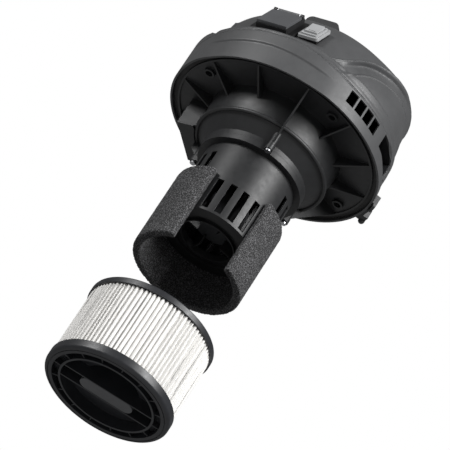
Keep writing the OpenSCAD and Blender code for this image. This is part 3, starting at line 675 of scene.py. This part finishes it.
    def side_windows(self) -> list[bpy.types.Object]:
        """Makes the cutters of the two windows that a tank's latches hook into."""
        width, height, low = 62, 22, 16
        return [cutter(f"window_{side}", rounded_prism(width, 40, height, 2, 4),
                       round_turn(side) @ Matrix.Translation((0, -self.skirt_r, low))) for side in (-90, 90)]

    def handle_cuts(self) -> list[bpy.types.Object]:
        """Makes the cutters of the hand well and of the handle's two feet."""
        well_w, well_l, well_floor, foot_w, foot_l, foot_at = 100, 92, 124, 48.6, 16.6, 56
        solids = [cutter("well", rounded_prism(well_w, well_l, 60, 14),
                         Matrix.Translation((0, 0, well_floor)))]
        for y in (-foot_at, foot_at):
            solids.append(cutter(f"foot_{y}", rounded_prism(foot_w, foot_l, 60, 0.5, 2),
                                 Matrix.Translation((0, y, 120))))
        return solids

    def panel_cuts(self) -> list[bpy.types.Object]:
        """Makes the cutters of the power take-off and of the switch in the front panel."""
        depth = 19
        return [cutter(name, rounded_prism(width, length, 60, 1.5, 3),
                       self.on_panel(x, rise) @ Matrix.Translation((0, 0, -depth)))
                for name, x, rise, width, length in (("socket", -18, 0, 40, 49), ("switch", 29, 6, 26, 36))]

    def gland_cut(self) -> bpy.types.Object:
        """Makes the cutter of the round hole that the cord's gland sits in."""
        bore, height = 14, 32
        return cutter("gland", rounded_prism(bore, bore, 60, 6.9, 10), Matrix.Translation(
            (0, self.skirt_r + 20, height)) @ Matrix.Rotation(math.radians(90), 4, "X"))

    def openings(self) -> list[bpy.types.Object]:
        """Makes the solids that all the openings are cut with.

        Returns:
            Vents, side windows, hand well, handle feet, power take-off, switch and cord gland.
        """
        return [*self.vents(), *self.side_windows(), *self.handle_cuts(), *self.panel_cuts(),
                self.gland_cut()]

    def build(self) -> None:
        """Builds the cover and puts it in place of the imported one."""
        piece = self.shell()
        apply_all(piece)
        cut_away(piece, self.openings())
        piece.data.polygons.foreach_set("use_smooth", [True] * len(piece.data.polygons))
        piece.data.set_sharp_from_angle(angle=math.radians(self.sharp_edge_deg))
        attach(piece, "head")
        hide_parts("top_cover")
        log.info("cover_shell: %d faces", len(piece.data.polygons))


# --- Foam sleeve ------------------------------------------------------------------


@dataclass
class FoamSleeve:
    """The open-cell sleeve: a C in section, with soft edges and a porous face."""

    wardrobe: Wardrobe
    outer_r: float = 78
    inner_r: float = 66.6
    gap_w: float = 84
    gap_at_deg: float = 28
    edge_r: float = 2.6
    pitch: float = 1.25
    pore: float = 0.55
    strand_out: float = 0.15
    half_wall: float = 4.9
    half_length: float = 59.0
    end_squeeze: tuple[float, ...] = (0.55, 0.82, 0.95)
    seed: int = 7

    def section(self) -> np.ndarray:
        """Returns the closed section of the wall: radius and height, with rounded edges, anticlockwise."""
        low, high = (v.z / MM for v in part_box("foam_sleeve"))
        e = self.edge_r
        line = []
        for (r, z), start in (((self.outer_r - e, low + e), -90), ((self.outer_r - e, high - e), 0),
                              ((self.inner_r + e, high - e), 90), ((self.inner_r + e, low + e), 180)):
            line += [(r + e * math.cos(math.radians(start + k)), z + e * math.sin(math.radians(start + k)))
                     for k in (0, 30, 60, 90)]
        points = [line[0]]
        for a, b in zip(line, line[1:] + line[:1]):
            steps = max(1, round(math.dist(a, b) / self.pitch))
            points += [(a[0] + (b[0] - a[0]) * k / steps, a[1] + (b[1] - a[1]) * k / steps)
                       for k in range(1, steps + 1)]
        return np.array(points[:-1])

    def build(self) -> None:
        """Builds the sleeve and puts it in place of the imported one."""
        half = math.asin(self.gap_w / 2 / self.outer_r)
        start = math.radians(self.gap_at_deg) + half
        stop = math.radians(self.gap_at_deg) + 2 * math.pi - half
        count = round((stop - start) * self.outer_r / self.pitch)
        turn = np.linspace(start, stop, count)
        section = self.section()
        n = len(section)
        middle = np.array([(self.outer_r + self.inner_r) / 2, section[:, 1].mean()])
        pull = np.ones(count)
        for i, k in enumerate(self.end_squeeze):
            pull[i] = pull[-1 - i] = k
        thin = middle[0] + (section[None, :, 0] - middle[0]) * pull[:, None]
        x = thin * np.sin(turn)[:, None]
        y = -thin * np.cos(turn)[:, None]
        z = np.broadcast_to(section[:, 1], x.shape)
        points = np.stack([x, y, z], -1).reshape(-1, 3)
        rng = np.random.default_rng(self.seed)
        out = section - middle
        near_face = np.abs(out) > np.array([self.half_wall, self.half_length]) - self.edge_r
        out = out / np.maximum(np.abs(out), 1e-6) * near_face
        rough = rng.uniform(-self.pore, self.strand_out, (count, n))
        radial = out[None, :, 0] * rough
        points[:, 0] += (radial * np.sin(turn)[:, None]).reshape(-1)
        points[:, 1] += (-radial * np.cos(turn)[:, None]).reshape(-1)
        points[:, 2] += (out[None, :, 1] * rough).reshape(-1)
        faces = grid_faces(count, n, False, True)
        for row in (0, count - 1):
            centre = len(points)
            points = np.concatenate([points, points[row * n:(row + 1) * n].mean(0)[None]])
            ends = [(row * n + i, row * n + (i + 1) % n, centre) for i in range(n)]
            faces += [f[::-1] for f in ends] if row == 0 else ends
        piece = new_piece("foam_open_cell", points, faces, self.wardrobe.get(Slot.FOAM), smooth=False)
        tidy = bmesh.new()
        tidy.from_mesh(piece.data)
        bmesh.ops.recalc_face_normals(tidy, faces=tidy.faces)
        tidy.to_mesh(piece.data)
        tidy.free()
        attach(piece, "foam")
        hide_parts("foam_sleeve")
        log.info("foam_open_cell: %d faces", len(piece.data.polygons))


# --- Cartridge ------------------------------------------------------------------


@dataclass
class Pleats:
    """The folded paper of the cartridge, with rounded folds that wander a little."""

    wardrobe: Wardrobe
    count: int = 88
    outer_r: float = 86.7
    inner_r: float = 81.6
    paper_t: float = 0.35
    crest_power: float = 0.75
    wander_spread: float = 0.16
    lean_share: float = 0.6
    samples: int = 12
    rows: int = 28
    seed: int = 11

    def build(self) -> None:
        """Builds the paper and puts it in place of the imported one."""
        low, high = (v.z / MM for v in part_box("pleated_filter"))
        rng = np.random.default_rng(self.seed)
        columns = self.count * self.samples
        phase = (np.arange(columns) % self.samples) / self.samples
        fold = np.arange(columns) // self.samples
        crest = np.abs(np.cos(math.pi * phase)) ** self.crest_power
        shift = rng.normal(0, self.wander_spread, (4, self.count))
        height = np.linspace(0, 1, self.rows)[:, None]
        wander = (shift[0][fold] * height + shift[1][fold] * (1 - height)
                  + shift[2][fold] * np.sin(math.pi * height)
                  + 0.3 * shift[3][fold] * np.sin(2 * math.pi * height))
        pitch = 2 * math.pi / self.count
        angle = (fold + phase) * pitch + wander * pitch * self.lean_share * crest
        radius = self.inner_r + (self.outer_r - self.inner_r) * crest * (1 - 0.05 * np.abs(shift[2][fold]))
        radius = radius * np.ones_like(height)
        z = low + (high - low) * height * np.ones_like(angle)
        face = np.stack([radius * np.sin(angle), -radius * np.cos(angle), z], -1)
        piece = new_piece("paper_folds", face.reshape(-1, 3), grid_faces(self.rows, columns, False, True),
                          self.wardrobe.get(Slot.PAPER))
        sheet = piece.modifiers.new("paper", "SOLIDIFY")
        sheet.thickness = self.paper_t * MM
        sheet.offset = -1
        apply_all(piece)
        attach(piece, "cartridge")
        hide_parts("pleated_filter")
        log.info("paper_folds: %d faces", len(piece.data.polygons))


# --- Studio ------------------------------------------------------------------


@dataclass
class Studio:
    """The camera, the soft lights and the pale floor far below."""

    azimuth_deg: float = 28.0
    elevation_deg: float = -32.017
    axis_lean_deg: float = 33.167
    distance_m: float = 5.1429
    aim_height_m: float = -0.1504
    aim_side_m: float = 0.0078
    lens_mm: float = 320
    sensor_mm: float = 36
    floor_z_m: float = -3.4
    floor_half_m: float = 8.0
    glow: float = 0.17

    def axes(self) -> tuple[Vector, Vector, Vector]:
        """Returns the camera's right, up and backward directions."""
        azimuth, elevation = math.radians(self.azimuth_deg), math.radians(self.elevation_deg)
        back = Vector((math.cos(elevation) * math.sin(azimuth), -math.cos(elevation) * math.cos(azimuth),
                       math.sin(elevation)))
        side = Vector((math.cos(azimuth), math.sin(azimuth), 0))
        level_up = back.cross(side)
        lean = math.radians(self.axis_lean_deg)
        up = level_up * math.cos(lean) - side * math.sin(lean)
        return up.cross(back), up, back

    def aim(self) -> Vector:
        """Returns the point that the camera looks at."""
        azimuth = math.radians(self.azimuth_deg)
        side = Vector((math.cos(azimuth), math.sin(azimuth), 0))
        return side * self.aim_side_m + Vector((0, 0, self.aim_height_m))

    def camera(self) -> None:
        """Sets up the camera."""
        right, up, back = self.axes()
        data = bpy.data.cameras.new("camera")
        data.lens, data.sensor_width, data.sensor_fit = self.lens_mm, self.sensor_mm, "HORIZONTAL"
        data.clip_start, data.clip_end = 0.05, 100
        camera = bpy.data.objects.new("camera", data)
        bpy.context.scene.collection.objects.link(camera)
        turn = Matrix((right, up, back)).transposed().to_4x4()
        camera.matrix_world = Matrix.Translation(self.aim() + back * self.distance_m) @ turn
        bpy.context.scene.camera = camera

    def light(self, name: str, right_m: float, up_m: float, back_m: float, size_m: float,
              power: float) -> None:
        """Hangs a soft box, given where it is as the camera sees it.

        Args:
            name: The light's name.
            right_m: How far right of the object it hangs.
            up_m: How far above it.
            back_m: How far towards the camera.
            size_m: The side of its square face.
            power: Its power in watts.
        """
        right, up, back = self.axes()
        data = bpy.data.lights.new(name, "AREA")
        data.shape, data.size, data.energy = "SQUARE", size_m, power
        lamp = bpy.data.objects.new(name, data)
        bpy.context.scene.collection.objects.link(lamp)
        place = right * right_m + up * up_m + back * back_m
        turn = place.to_track_quat("Z", "Y").to_matrix().to_4x4()
        lamp.matrix_world = Matrix.Translation(self.aim() + place) @ turn

    def world(self) -> None:
        """Sets a plain surround, white where the camera sees it and dimmer for the light it gives."""
        world = bpy.data.worlds.new("white")
        world.use_nodes = True
        tree = world.node_tree
        tree.nodes["Background"].inputs["Color"].default_value = (1, 1, 1, 1)
        path = tree.nodes.new("ShaderNodeLightPath")
        level = tree.nodes.new("ShaderNodeMapRange")
        level.inputs["To Min"].default_value = self.glow
        level.inputs["To Max"].default_value = 1.0
        tree.links.new(path.outputs["Is Camera Ray"], level.inputs["Value"])
        tree.links.new(level.outputs["Result"], tree.nodes["Background"].inputs["Strength"])
        bpy.context.scene.world = world

    def floor(self) -> None:
        """Lays the pale floor."""
        edge, z = self.floor_half_m / MM, self.floor_z_m / MM
        corners = np.array([[-edge, -edge, z], [edge, -edge, z], [edge, edge, z], [-edge, edge, z]])
        g = Graph("pale_floor")
        g.feed(Base_Color=g.ramp(g.noise(900, 2), [(0.3, (0.86, 0.86, 0.86)), (0.7, (0.9, 0.9, 0.9))]))
        g.fix(Roughness=0.8)
        new_piece("floor", corners, [(0, 1, 2, 3)], g.material, smooth=False)

    def build(self) -> None:
        """Sets up the whole studio."""
        self.camera()
        self.world()
        self.floor()
        self.light("key_right", 2.6, 0.8, 1.4, 1.4, 130)
        self.light("top_left", -1.3, 2.6, 0.8, 0.7, 60)
        self.light("low_left", -1.6, -2.0, 2.4, 0.7, 62)
        scene = bpy.context.scene
        scene.view_settings.view_transform = "Standard"
        log.info("studio: camera at azimuth %.1f", self.azimuth_deg)


def main() -> None:
    """Builds the studio and dresses or rebuilds every part."""
    logging.basicConfig(level=logging.INFO, format="%(name)s: %(message)s")
    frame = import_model()
    Studio().build()
    wardrobe = Wardrobe()
    wardrobe.dress_parts(frame["nodes"])
    Cover(wardrobe).build()
    FoamSleeve(wardrobe).build()
    Pleats(wardrobe).build()


if __name__ == "__main__":
    main()
